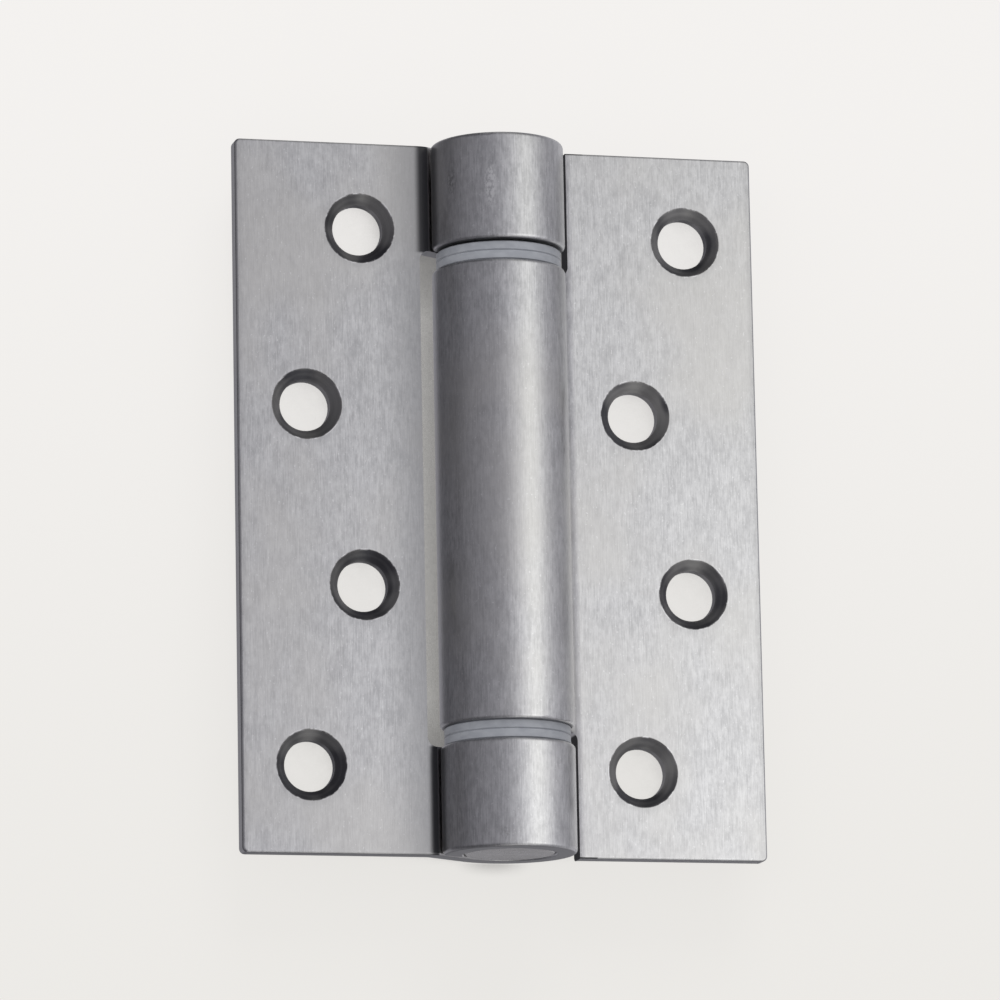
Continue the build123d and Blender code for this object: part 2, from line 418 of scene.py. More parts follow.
@dataclass(frozen=True)
class SatinSteel:
    """Steel sheet brushed along the pin, with sheared edges and turned countersinks."""

    name: str
    holes: HoleRows
    knuckles_from: float = 100.0
    notches_from: float = 100.0
    inner_shade: float = 0.0
    scuffs: tuple[Scuff, ...] = ()
    coating: Coating = Coating.SATIN
    half_width: float = 38.0

    light: Colour = (0.655, 0.655, 0.665)
    dark: Colour = (0.42, 0.42, 0.43)
    warm: Colour = (0.58, 0.57, 0.555)
    bright: Colour = (0.85, 0.85, 0.86)
    # Own colour of the sheared ends, also the target of the painted shade on the sheet
    sheared: Colour = (0.27, 0.27, 0.28)
    soil: Colour = (0.16, 0.155, 0.15)
    rubbed: Colour = (0.8, 0.8, 0.8)
    # Darkest tone of the painted shade in the countersinks; turned is the lighter tone
    sink_shade: Colour = (0.075, 0.075, 0.085)
    turned: Colour = (0.30, 0.295, 0.29)

    fine: Grain = Grain(5.4, 0.30, 3.1, 3.0, 0.6)
    streak: Grain = Grain(1.9, 0.85, 17.4, 5.0, 0.72)
    blotch: Grain = Grain(0.55, 0.36, 41.7, 5.0, 0.70)
    spark: Grain = Grain(3.6, 2.4, 88.3, 2.0, 0.5)
    wave: Grain = Grain(0.42, 0.10, 77.0, 2.0)
    cloud: Grain = Grain(0.05, 0.04, 63.2, 2.0)
    rim_glint: Grain = Grain(0.9, 0.9, 5.5)
    sink_shading: Grain = Grain(0.16, 0.16, 51.0, 1.0)
    dots: Grain = Grain(3.4, 1.9, 9.0)

    # How far a surface looks to the front or up, from -1 to 1
    back_facing: Fade = (-0.7, -0.4)
    end_facing: Fade = (0.75, 0.95)
    flank_facing: Fade = (0.97, 0.86)

    # Millimetres from the rim of a countersink, and over its axis for the drop
    sink_fade: Fade = (0.12, -0.02)
    rim_fade: Fade = (0.16, 0.04)
    halo_fade: Fade = (1.3, 0.0)
    halo_drop: Fade = (1.0, -4.0)

    # Millimetres from the pin axis, and along it for starts, ends and the lean
    off_barrel: Fade = (9.6, 10.0)
    inner_fade: Fade = (19.0, 11.0)
    outer_fade: Fade = (-1.3, 0.0)
    slit_near: Fade = (10.1, 10.3)
    slit_far: Fade = (13.2, 12.9)
    slit_start: Fade = (-0.1, 0.1)
    slit_end: Fade = (44.0, 46.0)
    valley_fade: Fade = (11.5, 10.4)
    valley_start: Fade = (-0.4, 0.0)
    valley_lean: Fade = (-30.0, 30.0)
    valley_shift: float = 0.6

    mottle_shares: tuple[float, ...] = (0.40, 0.46, 0.32)
    mottle_fade: Fade = (0.41, 0.77)
    cloud_fade: Fade = (0.42, 0.68)
    cloud_share: float = 0.55
    spark_fade: Fade = (0.665, 0.73)
    spark_share: float = 0.42
    outer_share: float = 0.35
    halo_share: float = 0.16
    edge_share: float = 0.85
    sink_shading_lean: float = 0.012
    sink_shading_fade: Fade = (0.38, 0.62)
    chatter_waves: float = 9.0
    chatter_share: float = 0.10
    sink_share: float = 0.94
    rim_glint_fade: Fade = (0.45, 0.65)
    rim_share: float = 0.75
    dots_fade: Fade = (0.42, 0.58)
    scuff_fade: Fade = (1.0, 0.35)
    crevice_share: float = 0.90

    rough_shares: tuple[float, ...] = (0.10, 0.10, 0.12)
    rough_base: float = 0.17
    edge_rough: float = 0.16
    sink_rough: float = 0.10
    outer_gloss: float = 0.04

    relief: float = 0.012
    height_shares: tuple[float, ...] = (0.50, 0.45, 0.60)
    wave_height: float = 2.2
    tool_waves: float = 26.0
    tool_height: float = 0.12
    shear_waves: float = 9.0
    shear_height: float = 0.3

    def crevice(self, place: Place, outward: Reading, edge: Reading, not_back: Reading) -> Reading:
        """Finds the slit beside a knuckle and the fold between a knuckle and its own leaf, for painted shade.

        Args:
            place: The shaded point.
            outward: Millimetres from the pin axis towards this leaf's free edge.
            edge: 1 on a sheared end.
            not_back: 0 on the back.

        Returns:
            The share of painted shade.
        """
        height_off = abs(place.z)
        hidden = abs(place.facing_front).rise(*self.flank_facing)
        hidden = hidden * outward.rise(*self.slit_near) * outward.rise(*self.slit_far)
        slit = hidden * height_off.rise(*about(self.notches_from, self.slit_start))
        slit = slit * (1.0 - edge * height_off.rise(*self.slit_end))
        fold = outward - place.z.rise(*self.valley_lean) * self.valley_shift
        valley = fold.rise(*self.valley_fade) * height_off.rise(*about(self.knuckles_from, self.valley_start))
        valley = valley * outward.rise(*self.off_barrel) * not_back * (1.0 - edge)
        return slit.maths("MAXIMUM", slit, valley) * self.crevice_share

    def masks(self, place: Place) -> SheetMasks:
        """Tells countersinks, edges and crevices from the plain sheet.

        Args:
            place: The shaded point.

        Returns:
            The readings.
        """
        rim_radius = self.holes.rim_radius
        radius, above = self.holes.radius(place)
        outward = place.x * self.holes.side
        not_back = place.facing_front.rise(*self.back_facing)
        edge = abs(place.facing_up).rise(*self.end_facing)
        halo = radius.rise(*about(rim_radius, self.halo_fade)) * above.rise(*self.halo_drop)
        inner = outward.rise(*self.inner_fade) * outward.rise(*self.off_barrel)
        return SheetMasks(
            radius=radius,
            above=above,
            sink=radius.rise(*about(rim_radius, self.sink_fade)) * not_back,
            rim=abs(radius - rim_radius).rise(*self.rim_fade) * not_back,
            halo=halo * not_back,
            edge=edge,
            outer=(outward - self.half_width).rise(*self.outer_fade),
            inner=inner * self.inner_shade * not_back,
            crevice=self.crevice(place, outward, edge, not_back),
        )

    def brushed(self, board: Board, place: Place, mottle: Reading, masks: SheetMasks) -> bpy.types.NodeSocket:
        """Colours the brushed sheet and its sheared edges, with painted shade on the sheet and the ends.

        Args:
            board: The material's board.
            place: The shaded point.
            mottle: 0 for the dark tone of the brushing, 1 for the light one.
            masks: The parts of the sheet.

        Returns:
            The colour.
        """
        colour = board.blend(mottle, self.dark, self.light)
        clouds = place.noise(self.cloud).rise(*self.cloud_fade)
        colour = board.blend(clouds * self.cloud_share, colour, self.warm)
        sparks = place.noise(self.spark).rise(*self.spark_fade)
        colour = board.blend(sparks * self.spark_share, colour, self.bright)
        # Painted shade: darker at the rounded free edge, below each countersink and beside the barrel
        shaded = masks.outer * self.outer_share + masks.halo * self.halo_share + masks.inner
        colour = board.blend(shaded, colour, self.sheared)
        # The sheared ends: their own darker steel plus painted shade
        return board.blend(masks.edge * self.edge_share, colour, self.sheared)

    def countersunk(
        self, board: Board, place: Place, colour: bpy.types.NodeSocket, masks: SheetMasks
    ) -> bpy.types.NodeSocket:
        """Paints shade into the countersinks, a little darker towards the bottom, and a highlight on their
        rims.

        Args:
            board: The material's board.
            place: The shaded point.
            colour: The sheet's colour.
            masks: The parts of the sheet.

        Returns:
            The colour.
        """
        # Painted shade in the countersinks, a little darker towards the bottom, with turned rings
        sink_shading = place.noise(self.sink_shading) + masks.above * self.sink_shading_lean
        chatter = (masks.radius * self.chatter_waves).sine() * self.chatter_share
        cone = board.blend(chatter + sink_shading.rise(*self.sink_shading_fade), self.sink_shade, self.turned)
        colour = board.blend(masks.sink * self.sink_share, colour, cone)
        # Painted highlight on the countersinks' rims, broken up by noise
        worn = place.noise(self.rim_glint).rise(*self.rim_glint_fade)
        return board.blend(masks.rim * worn * self.rim_share, colour, self.bright)

    def scuffed(self, board: Board, place: Place, colour: bpy.types.NodeSocket) -> bpy.types.NodeSocket:
        """Adds the small marks: dirt where the strength is negative, rubbed metal elsewhere.

        Args:
            board: The material's board.
            place: The shaded point.
            colour: The sheet's colour.

        Returns:
            The colour.
        """
        for scuff in self.scuffs:
            stretch = tuple(1.0 / size for size in scuff.half_size)
            dots = place.noise(self.dots).rise(*self.dots_fade)
            mark = place.distance(scuff.centre, stretch).rise(*self.scuff_fade) * dots
            tone = self.soil if scuff.strength < 0 else self.rubbed
            colour = board.blend(mark * abs(scuff.strength), colour, tone)
        return colour

    def material(self) -> bpy.types.Material:
        """Builds the finish."""
        material, board = new_material(self.name)
        place = Place.on(board)
        masks = self.masks(place)
        layers = tuple(place.noise(grain) for grain in (self.fine, self.streak, self.blotch))
        mottle = weighted(layers, self.mottle_shares).rise(*self.mottle_fade)
        colour = self.brushed(board, place, mottle, masks)
        colour = self.countersunk(board, place, colour, masks)
        colour = self.scuffed(board, place, colour)
        rough = weighted(layers, self.rough_shares) + self.rough_base
        rough = rough + masks.edge * self.edge_rough + masks.sink * self.sink_rough
        rough = rough - masks.outer * self.outer_gloss
        height = weighted(layers, self.height_shares) + place.noise(self.wave) * self.wave_height
        height = height + (masks.radius * self.tool_waves).sine() * masks.sink * self.tool_height
        height = height + (place.y * self.shear_waves).sine() * masks.edge * self.shear_height
        Look(colour, 1.0, rough, height, self.relief, masks.crevice).material(board)
        return material


@dataclass(frozen=True)
class MouldedNylon:
    """Grey moulded nylon of the bushes, polished a little where it runs."""

    name: str = "grey_nylon"
    coating: Coating = Coating.NYLON
    base: Colour = (0.285, 0.297, 0.330)
    rubbed: Colour = (0.335, 0.347, 0.380)
    grain: Grain = Grain(9.0, 9.0, 2.2)
    patch: Grain = Grain(0.5, 0.9, 12.1)
    patch_fade: Fade = (0.35, 0.65)
    face_facing: Fade = (0.6, 0.95)
    grain_rough: float = 0.12
    patch_rough: float = 0.10
    rough_base: float = 0.30
    face_gloss: float = 0.06
    relief: float = 0.010
    grain_height: float = 0.6
    ring_waves: float = 16.0
    ring_height: float = 0.15

    def material(self) -> bpy.types.Material:
        """Builds the finish."""
        material, board = new_material(self.name)
        place = Place.on(board)
        grain, patch = place.noise(self.grain), place.noise(self.patch)
        face = abs(place.facing_up).rise(*self.face_facing)
        colour = board.blend(patch.rise(*self.patch_fade), self.base, self.rubbed)
        rings = (place.distance((0.0, 0.0, None)) * self.ring_waves).sine() * face
        rough = grain * self.grain_rough + patch * self.patch_rough + self.rough_base - face * self.face_gloss
        height = grain * self.grain_height + rings * self.ring_height
        Look(colour, 0.0, rough, height, self.relief).material(board)
        return material


@dataclass(frozen=True)
class TurnedSteel:
    """Bar steel turned in a lathe, with a film of grease in its tool marks."""

    name: str = "turned_bar_steel"
    coating: Coating = Coating.TURNED
    bright: Colour = (0.55, 0.545, 0.54)
    dull: Colour = (0.40, 0.395, 0.39)
    grease: Colour = (0.17, 0.15, 0.12)
    patch: Grain = Grain(0.6, 0.5, 8.8)
    speck: Grain = Grain(4.0, 4.0, 27.0)
    patch_fade: Fade = (0.35, 0.6)
    speck_fade: Fade = (0.52, 0.70)
    face_facing: Fade = (0.6, 0.95)
    face_waves: float = 21.0
    side_waves: float = 24.0
    tool_share: float = 0.25
    side_film: float = 0.5
    face_clean: float = 0.4
    face_film: float = 0.30
    patch_rough: float = 0.16
    speck_rough: float = 0.12
    rough_base: float = 0.20
    relief: float = 0.008
    tool_height: float = 0.5
    speck_height: float = 0.3

    def material(self) -> bpy.types.Material:
        """Builds the finish."""
        material, board = new_material(self.name)
        place = Place.on(board)
        radius = place.distance((0.0, 0.0, None))
        face = abs(place.facing_up).rise(*self.face_facing)
        tool_marks = (radius * self.face_waves).sine() * face
        tool_marks = tool_marks + (place.z * self.side_waves).sine() * (1.0 - face)
        patch = place.noise(self.patch)
        speck = place.noise(self.speck).rise(*self.speck_fade)
        colour = board.blend(tool_marks * self.tool_share + patch, self.dull, self.bright)
        film = speck * patch.rise(*self.patch_fade) * (self.side_film - face * self.face_clean)
        colour = board.blend(film + face * self.face_film, colour, self.grease)
        rough = patch * self.patch_rough + speck * self.speck_rough + self.rough_base
        height = tool_marks * self.tool_height + speck * self.speck_height
        Look(colour, 1.0, rough, height, self.relief).material(board)
        return material


@dataclass(frozen=True)
class SpringWire:
    """Dark oil-tempered wire with draw marks along its length."""

    name: str = "oil_tempered_wire"
    coating: Coating = Coating.SPRING
    deep: Colour = (0.075, 0.08, 0.095)
    worn: Colour = (0.26, 0.255, 0.25)
    map_name: str = "wire_map"
    draw_scale: Point = (0.4, 30.0, 1.0)
    draw_detail: float = 3.0
    patch: Grain = Grain(0.8, 0.8, 33.0)
    shares: tuple[float, ...] = (0.5, 0.5)
    worn_fade: Fade = (0.45, 0.68)
    rough_shares: tuple[float, ...] = (0.2, 0.15)
    rough_base: float = 0.22
    relief: float = 0.010

    def material(self) -> bpy.types.Material:
        """Builds the finish."""
        material, board = new_material(self.name)
        unrolled = board.add("ShaderNodeUVMap", {"uv_map": self.map_name})
        drawn = board.add(
            "ShaderNodeMapping", sockets={"Vector": unrolled.outputs[0], "Scale": self.draw_scale}
        )
        sockets = {"Vector": drawn.outputs[0], "Scale": 1.0, "Detail": self.draw_detail}
        lines = board.reading("ShaderNodeTexNoise", {"noise_dimensions": "3D"}, sockets)
        layers = (lines, Place.on(board).noise(self.patch))
        colour = board.blend(weighted(layers, self.shares).rise(*self.worn_fade), self.deep, self.worn)
        rough = weighted(layers, self.rough_shares) + self.rough_base
        Look(colour, 1.0, rough, lines, self.relief).material(board)
        return material


def node_object(name: str) -> bpy.types.Object:
    """The CAD node of a name."""
    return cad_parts[name]


def give(piece: bpy.types.Object, material: bpy.types.Material, coating: Coating) -> None:
    """Puts one material on every slot of a piece and reports it.

    Args:
        piece: The piece.
        material: Its finish.
        coating: The record's name for what it is made of.
    """
    if not piece.material_slots:
        piece.data.materials.append(material)
    for slot in piece.material_slots:
        slot.material = material
    LOG.info("%s: %s for %s", piece.name, material.name, coating.value)


@dataclass
class Leaf:
    """One leaf of rolled sheet with its knuckles or barrel."""

    node: str
    holes: HoleRows
    knuckles_from: float = 100.0
    notches_from: float = 100.0
    inner_shade: float = 0.0
    scuffs: tuple[Scuff, ...] = ()

    def dress(self) -> None:
        """Gives the sheet its satin finish."""
        name = f"{self.node}_satin_steel"
        finish = SatinSteel(
            name,
            self.holes,
            knuckles_from=self.knuckles_from,
            notches_from=self.notches_from,
            inner_shade=self.inner_shade,
            scuffs=self.scuffs,
        )
        give(node_object(self.node), finish.material(), finish.coating)


@dataclass
class Bushes:
    """The four flanged nylon bushes between knuckles and barrel."""

    nodes: tuple[str, ...] = (
        "top_knuckle_bush",
        "barrel_top_bush",
        "barrel_bottom_bush",
        "bottom_knuckle_bush",
    )
    finish: MouldedNylon = MouldedNylon()

    def dress(self) -> None:
        """Gives the bushes their nylon."""
        material = self.finish.material()
        for node in self.nodes:
            give(node_object(node), material, self.finish.coating)


@dataclass
class TurnedParts:
    """Pivot, adjuster, anchor and the dowels that hold them."""

    nodes: tuple[str, ...] = (
        "bottom_pivot",
        "tension_adjuster",
        "spring_anchor",
        "pivot_pin",
        "anchor_pin",
        "adjuster_pin",
    )
    finish: TurnedSteel = TurnedSteel()

    def dress(self) -> None:
        """Gives the bar parts their turned steel."""
        material = self.finish.material()
        for node in self.nodes:
            give(node_object(node), material, self.finish.coating)


@dataclass
class TorsionSpring:
    """The coil in the barrel, with a tang at each end across the pin axis."""

    low: float = -17.55
    high: float = 24.35
    coil_radius: float = 5.0
    wire_width: float = 2.2
    wire_corner: float = 0.35
    corner_steps: int = 2
    coil_gap: float = 0.35
    tang_bend_radius: float = 1.6
    nose_radius: float = 3.4
    steps_in_turn: int = 48
    steps_in_bend: int = 10
    lower_body: str = "door"
    upper_body: str = "frame"
    replaced: str = "torsion_spring"
    finish: SpringWire = SpringWire()

    def tang_start(self) -> float:
        """How far from the pin axis a tang leaves its bend."""
        return math.sqrt(self.coil_radius**2 - 2 * self.coil_radius * self.tang_bend_radius)

    def bearing(self) -> float:
        """Angle on the coil between a tang's line and the bend's start."""
        return math.atan2(self.tang_bend_radius, self.tang_start())

    def coil(self) -> Iterator[Vector]:
        """Points along the left-hand coil, from the bottom up."""
        rise = self.high - self.low
        turns = round(rise / (self.wire_width + self.coil_gap)) - self.bearing() / math.pi
        steps = round(turns * self.steps_in_turn)
        for step in range(steps + 1):
            turned = -self.bearing() - step / steps * turns * math.tau
            across = self.coil_radius * math.cos(turned), self.coil_radius * math.sin(turned)
            yield Vector((*across, self.low + step / steps * rise))

    def tang(self, corner: Vector, heading: Vector) -> Iterator[Vector]:
        """Points along a tang after the coil's end.

        Args:
            corner: The coil's last point.
            heading: Unit direction in which the wire leaves it.

        Yields:
            Points round the bend and at the tang's tip.
        """
        inward = Vector((-corner.x, -corner.y, 0)).normalized()
        full_turn = math.pi / 2 + self.bearing()
        for step in range(1, self.steps_in_bend + 1):
            turn = full_turn * step / self.steps_in_bend
            along = self.tang_bend_radius * math.sin(turn)
            yield corner + heading * along + inward * self.tang_bend_radius * (1 - math.cos(turn))
        reach = self.tang_start() + self.nose_radius
        along = self.tang_bend_radius * math.sin(full_turn) + reach * math.cos(full_turn)
        across = self.tang_bend_radius * (1 - math.cos(full_turn)) + reach * math.sin(full_turn)
        yield corner + heading * along + inward * across

    def path(self) -> list[Vector]:
        """The whole wire's centre line, from the lower tang to the upper one."""
        coil = list(self.coil())
        down = (coil[0] - coil[1]).normalized()
        up = (coil[-1] - coil[-2]).normalized()
        return [*reversed(list(self.tang(coil[0], down))), *coil, *self.tang(coil[-1], up)]

    def tree(self, material: bpy.types.Material) -> bpy.types.NodeTree:
        """Builds the tree that sweeps a rounded square wire along a path.

        Args:
            material: The wire's finish.

        Returns:
            The node group, with its sizes as named inputs.
        """
        group = bpy.data.node_groups.new("swept_wire", "GeometryNodeTree")
        group.interface.new_socket("Path", in_out="INPUT", socket_type="NodeSocketGeometry")
        group.interface.new_socket("Wire width", in_out="INPUT", socket_type="NodeSocketFloat")
        group.interface.new_socket("Wire corner", in_out="INPUT", socket_type="NodeSocketFloat")
        group.interface.new_socket("Wire", in_out="OUTPUT", socket_type="NodeSocketGeometry")
        board = Board(group)
        entry = board.add("NodeGroupInput").outputs
        line = board.add("GeometryNodeMeshToCurve", sockets={"Mesh": entry["Path"]}).outputs[0]
        level = board.add("GeometryNodeSetCurveNormal", {"mode": "Z_UP"}, {"Curve": line}).outputs[0]
        along = board.add("GeometryNodeSplineParameter").outputs["Length"]
        capture = board.add("GeometryNodeCaptureAttribute", {"domain": "POINT"})
        capture.capture_items.new("FLOAT", "Along")
        group.links.new(level, capture.inputs["Geometry"])
        group.links.new(along, capture.inputs["Along"])
        side = entry["Wire width"]
        square = board.add("GeometryNodeCurvePrimitiveQuadrilateral", sockets={"Width": side, "Height": side})
        rounded = board.add(
            "GeometryNodeFilletCurve",
            {"mode": "POLY"},
            {"Curve": square.outputs[0], "Count": self.corner_steps, "Radius": entry["Wire corner"]},
        ).outputs[0]
        around = board.add("GeometryNodeSplineParameter").outputs["Factor"]
        ring = board.add("GeometryNodeCaptureAttribute", {"domain": "POINT"})
        ring.capture_items.new("FLOAT", "Around")
        group.links.new(rounded, ring.inputs["Geometry"])
        group.links.new(around, ring.inputs["Around"])
        swept = board.add(
            "GeometryNodeCurveToMesh",
            sockets={
                "Curve": capture.outputs["Geometry"],
                "Profile Curve": ring.outputs["Geometry"],
                "Fill Caps": True,
            },
        )
        millimetres = board.reading(
            "ShaderNodeMath", {"operation": "MULTIPLY"}, {0: capture.outputs["Along"], 1: 1 / MM}
        )
        pair = board.add("ShaderNodeCombineXYZ", sockets={"X": millimetres, "Y": ring.outputs["Around"]})
        mapped = board.add(
            "GeometryNodeStoreNamedAttribute",
            {"data_type": "FLOAT2", "domain": "CORNER"},
            {"Geometry": swept.outputs[0], "Name": self.finish.map_name, "Value": pair.outputs[0]},
        )
        smooth = board.add(
            "GeometryNodeSetShadeSmooth", sockets={"Geometry": mapped.outputs[0], "Shade Smooth": True}
        )
        real = board.add("GeometryNodeRealizeInstances", sockets={"Geometry": smooth.outputs[0]})
        dressed = board.add(
            "GeometryNodeSetMaterial", sockets={"Geometry": real.outputs[0], "Material": material}
        )
        board.add("NodeGroupOutput", sockets={"Wire": dressed.outputs[0]})
        return group

    def build(self) -> None:
        """Makes the wire, which stands for the CAD spring."""
        points = [point * MM for point in self.path()]
        line = bpy.data.meshes.new("wire_line")
        line.from_pydata(points, [(at, at + 1) for at in range(len(points) - 1)], [])
        material = self.finish.material()
        group = self.tree(material)
        piece = bpy.data.objects.new("wound_wire", line)
        bpy.context.scene.collection.objects.link(piece)
        modifier = piece.modifiers.new("Sweep", "NODES")
        modifier.node_group = group
        sizes = {"Wire width": self.wire_width * MM, "Wire corner": self.wire_corner * MM}
        for item in group.interface.items_tree:
            if item.name in sizes:
                modifier[item.identifier] = sizes[item.name]
        evaluated = piece.evaluated_get(bpy.context.evaluated_depsgraph_get())
        mesh = bpy.data.meshes.new_from_object(evaluated)
        mesh.name = "wound_wire"
        piece.modifiers.remove(modifier)
        piece.data = mesh
        give(piece, material, self.finish.coating)
        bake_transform(piece)
        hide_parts(self.replaced)
        LOG.info("%s: %d faces", piece.name, len(mesh.polygons))


@dataclass
class Viewpoint:
    """Where the photograph was taken from: left of the hinge and a little below it."""

    yaw: float = -14.52
    pitch: float = 10.83
    roll: float = 1.10
    aim_x: float = -0.45
    aim_z: float = -0.29
    distance: float = 928.03
    lens: float = 236.19
    sensor: float = 36.0
    clip_start: float = 0.01
    clip_end: float = 60.0

    def set_up(self) -> None:
        """Makes the camera and hands it to the scene."""
        turn = (
            Matrix.Rotation(math.radians(self.yaw), 3, "Z")
            @ Matrix.Rotation(math.radians(self.pitch), 3, "X")
            @ Matrix.Rotation(math.radians(self.roll), 3, "Y")
        )
        right, forward, up = turn.col[0], turn.col[1], turn.col[2]
        axes = Matrix((right, up, -forward)).transposed().to_4x4()
        aim = Vector((self.aim_x, 0.0, self.aim_z))
        data = bpy.data.cameras.new("camera")
        data.sensor_width, data.lens = self.sensor, self.lens
        data.clip_start, data.clip_end = self.clip_start, self.clip_end
        camera = bpy.data.objects.new("camera", data)
        camera.matrix_world = Matrix.Translation((aim - forward * self.distance) * MM) @ axes
        bpy.context.scene.collection.objects.link(camera)
        bpy.context.scene.camera = camera


@dataclass(frozen=True)
class Lamp:
    """A soft rectangular lamp aimed at the hinge."""

    name: str
    azimuth: float
    elevation: float
    distance: float
    size: float
    power: float
    in_reflections: bool = False

    def set_up(self) -> None:
        """Hangs the lamp."""
        turned, raised = math.radians(self.azimuth), math.radians(self.elevation)
        out = Vector(
            (math.sin(turned) * math.cos(raised), -math.cos(turned) * math.cos(raised), math.sin(raised))
        )
        data = bpy.data.lights.new(self.name, "AREA")
        data.shape, data.size, data.energy = "SQUARE", self.size, self.power
        lamp = bpy.data.objects.new(self.name, data)
        lamp.location = out * self.distance
        lamp.rotation_mode = "QUATERNION"
        lamp.rotation_quaternion = out.to_track_quat("Z", "Y")
        lamp.visible_glossy = self.in_reflections
        bpy.context.scene.collection.objects.link(lamp)


@dataclass(frozen=True)
class Level:
    """How bright the bent card is in one direction, in degrees from -Y towards +X."""

    azimuth: float
    brightness: float


@dataclass
class Studio:
    """Pale floor and wall, a bent card that the metal mirrors, lamps and world."""

    pale_high: Colour = (0.900, 0.882, 0.864)
    pale_low: Colour = (0.850, 0.834, 0.806)
    pale_rise: float = 75.0
    own_glow: float = 0.88
    corner_reach: float = 9.0
    corner_fade: Fade = (0.58, 0.22)
    corner_shade: float = 0.78
    corner_samples: int = 16
    foot_reach: float = 2.2
    foot_fade: Fade = (0.4, 0.1)
    foot_shade: float = 0.90
    foot_lean: float = 1.2
    foot_samples: int = 8
    world_fill: float = 0.62
    wall_y: float = 9.75
    floor_z: float = -51.1
    reach: float = 4000.0
    card_radius: float = 210.0
    card_half_height: float = 1500.0
    card_steps: int = 120
    card_falling: float = 0.0026
    card_middle: float = 38.0
    card_band: float = 105.0
    card_beyond: float = 330.0
    card_dim: float = 0.55
    card_fall_limit: float = 0.3
    lit_from: Fade = (-10.0, 20.0)
    lit_until: Fade = (100.0, 70.0)
    cool: Colour = (0.995, 0.979, 1.085)
    warm: Colour = (1.0, 1.0, 0.975)
    card_levels: tuple[Level, ...] = (
        Level(-180.0, 0.40),
        Level(-150.0, 0.34),
        Level(-122.0, 0.10),
        Level(-95.0, 0.15),
        Level(-75.0, 0.24),
        Level(-45.0, 0.325),
        Level(-18.0, 0.41),
        Level(-4.0, 0.56),
        Level(8.0, 0.85),
        Level(20.0, 1.09),
        Level(30.0, 1.42),
        Level(42.0, 1.42),
        Level(54.0, 1.02),
        Level(68.0, 0.62),
        Level(88.0, 0.44),
        Level(110.0, 0.52),
        Level(132.0, 0.74),
        Level(150.0, 0.52),
        Level(180.0, 0.40),
    )
    lamps: tuple[Lamp, ...] = (
        Lamp("key_lamp", 12.0, 62.0, 0.9, 0.5, 5.0),
        Lamp("fill_lamp", -50.0, 10.0, 1.1, 0.8, 2.0),
    )

    def open_share(self, board: Board, reach: float, samples: int, sockets: Mapping[str, Value]) -> Reading:
        """Reads how much of the space in front of the backdrop is free.

        Args:
            board: The backdrop's board.
            reach: How far it looks, in millimetres.
            samples: How many rays it sends from a point.
            sockets: Other inputs of the node.

        Returns:
            1 where nothing is near, 0 where a piece covers all.
        """
        node = board.add(
            "ShaderNodeAmbientOcclusion", {"samples": samples}, {"Distance": reach * MM, **sockets}
        )
        return Reading(board, node.outputs["AO"])

    def shade(self, board: Board, place: Place, normal: bpy.types.NodeSocket) -> Reading:
        """Painted shade near the hinge, deeper at the foot of what stands on the floor.

        Args:
            board: The backdrop's board.
            place: The shaded point.
            normal: Where the backdrop looks.

        Returns:
            0 where it is lit, up to 1 where it is dark.
        """
        corner = self.open_share(board, self.corner_reach, self.corner_samples, {}).rise(*self.corner_fade)
        corner = corner * self.corner_shade
        leaning = board.add(
            "ShaderNodeVectorMath", {"operation": "ADD"}, {0: normal, 1: (0.0, 0.0, self.foot_lean)}
        )
        upward = board.add("ShaderNodeVectorMath", {"operation": "NORMALIZE"}, {0: leaning.outputs[0]})
        towards = {"Normal": upward.outputs[0]}
        covered = 1.0 - self.open_share(board, self.foot_reach, self.foot_samples, towards)
        near_floor = place.z.rise(*about(self.floor_z, self.foot_fade))
        return corner.maths("MAXIMUM", corner, covered * covered * self.foot_shade * near_floor)

    def backdrop_material(self) -> bpy.types.Material:
        """Pale card with painted shade near the hinge and a little real shadow, clear from behind."""
        material, board = new_material("pale_backdrop")
        place = Place.on(board)
        geometry = board.add("ShaderNodeNewGeometry")
        shade = self.shade(board, place, geometry.outputs["Normal"])
        pale = board.blend(place.z.rise(-self.pale_rise, self.pale_rise), self.pale_low, self.pale_high)
        # Painted shade: the pale colour darkened where the hinge covers the backdrop
        pale = board.blend(shade, pale, (0.0, 0.0, 0.0))
        lit = board.add("ShaderNodeBsdfDiffuse", sockets={"Color": pale})
        glow = board.add("ShaderNodeEmission", sockets={"Color": pale, "Strength": 1.0})
        shown = board.add(
            "ShaderNodeMixShader", sockets={0: self.own_glow, 1: lit.outputs[0], 2: glow.outputs[0]}
        )
        clear = board.add("ShaderNodeBsdfTransparent")
        sided = board.add(
            "ShaderNodeMixShader",
            sockets={0: geometry.outputs["Backfacing"], 1: shown.outputs[0], 2: clear.outputs[0]},
        )
        board.add("ShaderNodeOutputMaterial", sockets={"Surface": sided.outputs[0]})
        return material

    def card_colour(self, level: Level, brightest: float) -> Colour:
        """Tint of the card: cool where it is dim and warm where it is bright."""
        share = level.brightness / brightest
        return tuple(share * (cold + (hot - cold) * share) for cold, hot in zip(self.cool, self.warm))

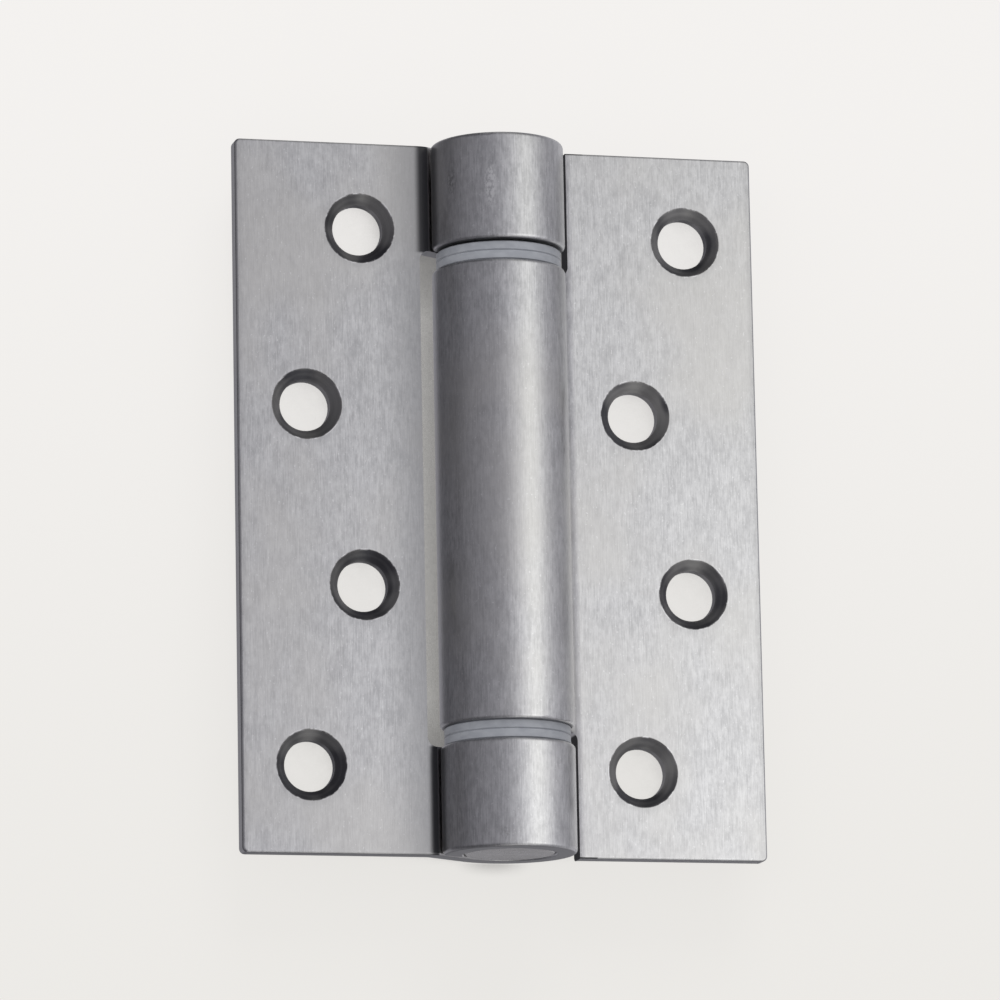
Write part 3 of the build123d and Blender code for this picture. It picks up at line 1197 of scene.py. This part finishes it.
    def card_material(self) -> bpy.types.Material:
        """Glow of the bent card, which changes round the hinge and falls upwards."""
        material, board = new_material("bent_card")
        place = Place.on(board)
        azimuth = place.x.maths("ARCTAN2", place.x, place.y * -1.0) * (180 / math.pi)
        brightest = max(level.brightness for level in self.card_levels)
        stops = [
            ((level.azimuth + 180) / 360, self.card_colour(level, brightest)) for level in self.card_levels
        ]
        ramp = board.add("ShaderNodeValToRGB", {"stops": stops}, {0: (azimuth + 180.0) / 360.0})
        lit_side = azimuth.rise(*self.lit_from) * azimuth.rise(*self.lit_until)
        fall = (self.card_middle - place.z) * self.card_falling
        fall = fall.within(-self.card_fall_limit, self.card_fall_limit) * lit_side + 1.0
        off = abs(place.z - self.card_middle).rise(self.card_band, self.card_beyond)
        fall = fall * (1.0 - off * (1.0 - self.card_dim))
        shade = board.add(
            "ShaderNodeVectorMath", {"operation": "SCALE"}, {"Vector": ramp.outputs[0], "Scale": fall}
        )
        glow = board.add("ShaderNodeEmission", sockets={"Color": shade.outputs[0], "Strength": brightest})
        board.add("ShaderNodeOutputMaterial", sockets={"Surface": glow.outputs[0]})
        return material

    @staticmethod
    def put_on_stage(name: str, mesh: bpy.types.Mesh, seen: bool) -> None:
        """Adds a card to the stage.

        Args:
            name: The card's name.
            mesh: Its mesh.
            seen: True if the camera sees it, False if only reflections do.
        """
        card = bpy.data.objects.new(name, mesh)
        bpy.context.scene.collection.objects.link(card)
        card.visible_camera = seen
        card.visible_glossy = not seen
        card.visible_diffuse = False
        card.visible_transmission = False
        card.visible_shadow = False

    def flat_card(self, name: str, corners: list[Point], material: bpy.types.Material) -> None:
        """Makes a flat card that the camera sees."""
        mesh = bpy.data.meshes.new(name)
        mesh.from_pydata([Vector(corner) * MM for corner in corners], [], [tuple(range(len(corners)))])
        mesh.materials.append(material)
        self.put_on_stage(name, mesh, seen=True)

    def bent_card(self) -> None:
        """Makes the card that bends all round the hinge."""
        points, faces = [], []
        for step in range(self.card_steps):
            turned = math.tau * step / self.card_steps
            x, y = self.card_radius * math.sin(turned), -self.card_radius * math.cos(turned)
            points += [Vector((x, y, z)) * MM for z in (-self.card_half_height, self.card_half_height)]
            last = 2 * ((step + 1) % self.card_steps)
            faces.append((2 * step, last, last + 1, 2 * step + 1))
        mesh = bpy.data.meshes.new("bent_card")
        mesh.from_pydata(points, [], faces)
        mesh.materials.append(self.card_material())
        self.put_on_stage("bent_card", mesh, seen=False)

    def world(self) -> None:
        """Pale where it is seen or mirrored, and a plain grey fill elsewhere."""
        world = bpy.data.worlds.new("studio")
        bpy.context.scene.world = world
        world.use_nodes = True
        board = Board(world.node_tree)
        path = board.add("ShaderNodeLightPath")
        seen = Reading(board, path.outputs["Is Camera Ray"])
        seen = seen + Reading(board, path.outputs["Is Glossy Ray"])
        seen = seen + Reading(board, path.outputs["Is Transmission Ray"])
        seen = seen.maths("MINIMUM", seen, 1.0)
        white = (1.0, 1.0, 1.0, 1.0)
        fill = board.add("ShaderNodeBackground", sockets={"Color": white, "Strength": self.world_fill})
        pale = board.add("ShaderNodeBackground", sockets={"Color": (*self.pale_high, 1.0), "Strength": 1.0})
        mixed = board.add("ShaderNodeMixShader", sockets={0: seen, 1: fill.outputs[0], 2: pale.outputs[0]})
        board.add("ShaderNodeOutputWorld", sockets={"Surface": mixed.outputs[0]})

    def set_up(self) -> None:
        """Builds the stage."""
        material = self.backdrop_material()
        far, wall, floor = self.reach, self.wall_y, self.floor_z
        wall_corners = [(-far, wall, -far), (far, wall, -far), (far, wall, far), (-far, wall, far)]
        floor_corners = [(-far, -far, floor), (far, -far, floor), (far, far, floor), (-far, far, floor)]
        self.flat_card("wall", wall_corners, material)
        self.flat_card("floor", floor_corners, material)
        self.bent_card()
        self.world()
        for lamp in self.lamps:
            lamp.set_up()
        bpy.context.scene.view_settings.view_transform = "Standard"


def main() -> None:
    """Builds the hinge's looks and its studio."""
    logging.basicConfig(level=logging.INFO, format="%(name)s: %(message)s")
    Viewpoint().set_up()
    knuckle_marks = (
        Scuff((-8.0, -5.1, 44.6), (1.2, 1.2, 2.6), -0.45),
        Scuff((-3.3, -8.9, 43.5), (1.1, 1.2, 4.6), 0.8),
        Scuff((-2.9, -9.0, -49.0), (1.0, 1.0, 1.2), -0.3),
    )
    frame_holes = HoleRows(side=-1, middle=0.1, first=20.0, second=28.0)
    door_holes = HoleRows(side=1, middle=-0.1, first=28.0, second=20.0)
    Leaf("frame_leaf", frame_holes, knuckles_from=35.7, inner_shade=0.60, scuffs=knuckle_marks).dress()
    Leaf("door_leaf", door_holes, notches_from=32.0).dress()
    Bushes().dress()
    TurnedParts().dress()
    TorsionSpring().build()
    Studio().set_up()


if __name__ == "__main__":
    main()
